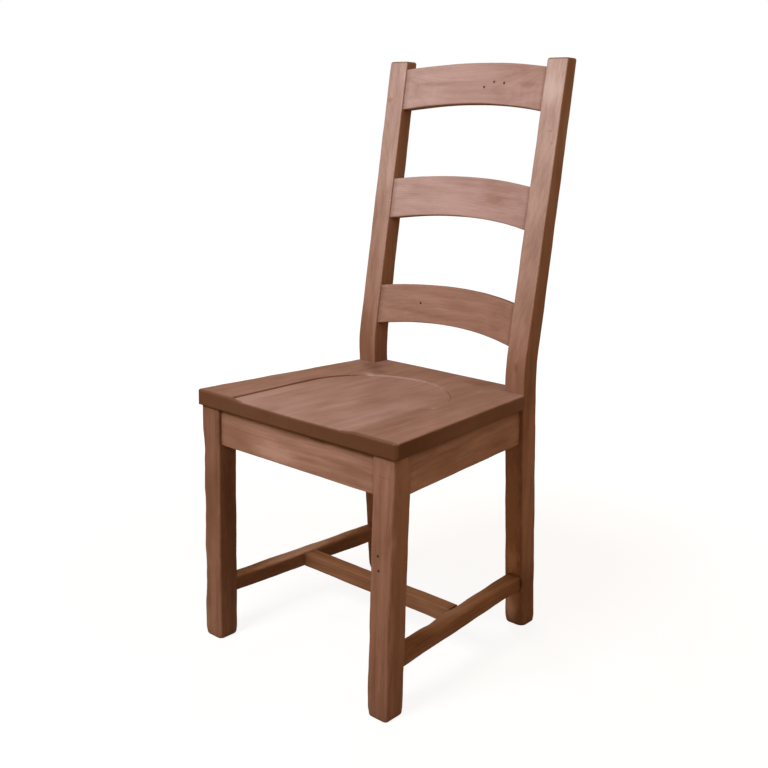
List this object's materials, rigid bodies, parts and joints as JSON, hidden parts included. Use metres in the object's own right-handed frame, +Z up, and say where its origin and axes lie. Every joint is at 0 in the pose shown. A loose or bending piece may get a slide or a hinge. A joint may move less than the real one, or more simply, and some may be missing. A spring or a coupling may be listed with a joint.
{
  "type": "ladderback chair",
  "caption": "Ladderback dining chair in stained pine with bowed back slats, an H stretcher and a solid seat with a shallow scoop.",
  "frame": {"origin": "on the floor, under the middle of the chair's bounding box", "axes": "+X to the right of a viewer who faces the chair's front, +Y from the front to the back, +Z up along the chair's height"},
  "size_m": [0.4594, 0.5069, 1.049],
  "materials": {
    "legs": "pine, brown stain, satin wax, worn edges",
    "posts": "pine, brown stain, satin wax",
    "aprons": "pine, brown stain, satin wax",
    "stretchers": "pine, brown stain, satin wax, worn edges",
    "slats": "pine, brown stain, satin wax, small nail holes",
    "seat": "pine boards glued edge to edge, brown stain, satin wax",
    "blocks": "bare pine",
    "screws": "zinc plated steel"
  },
  "bodies": {
    "root": {"left_front_leg": "legs", "right_front_leg": "legs", "left_rear_post": "posts", "right_rear_post": "posts", "front_apron": "aprons", "rear_apron": "aprons", "left_side_apron": "aprons", "right_side_apron": "aprons", "left_side_stretcher": "stretchers", "right_side_stretcher": "stretchers", "cross_stretcher": "stretchers", "lower_slat": "slats", "middle_slat": "slats", "top_slat": "slats", "seat_board_left": "seat", "seat_board_mid_left": "seat", "seat_board_mid_right": "seat", "seat_board_right": "seat", "left_front_corner_block": "blocks", "right_front_corner_block": "blocks", "left_rear_corner_block": "blocks", "right_rear_corner_block": "blocks", "corner_block_screws": "screws", "seat_screws": "screws"}
  },
  "joints": []
}
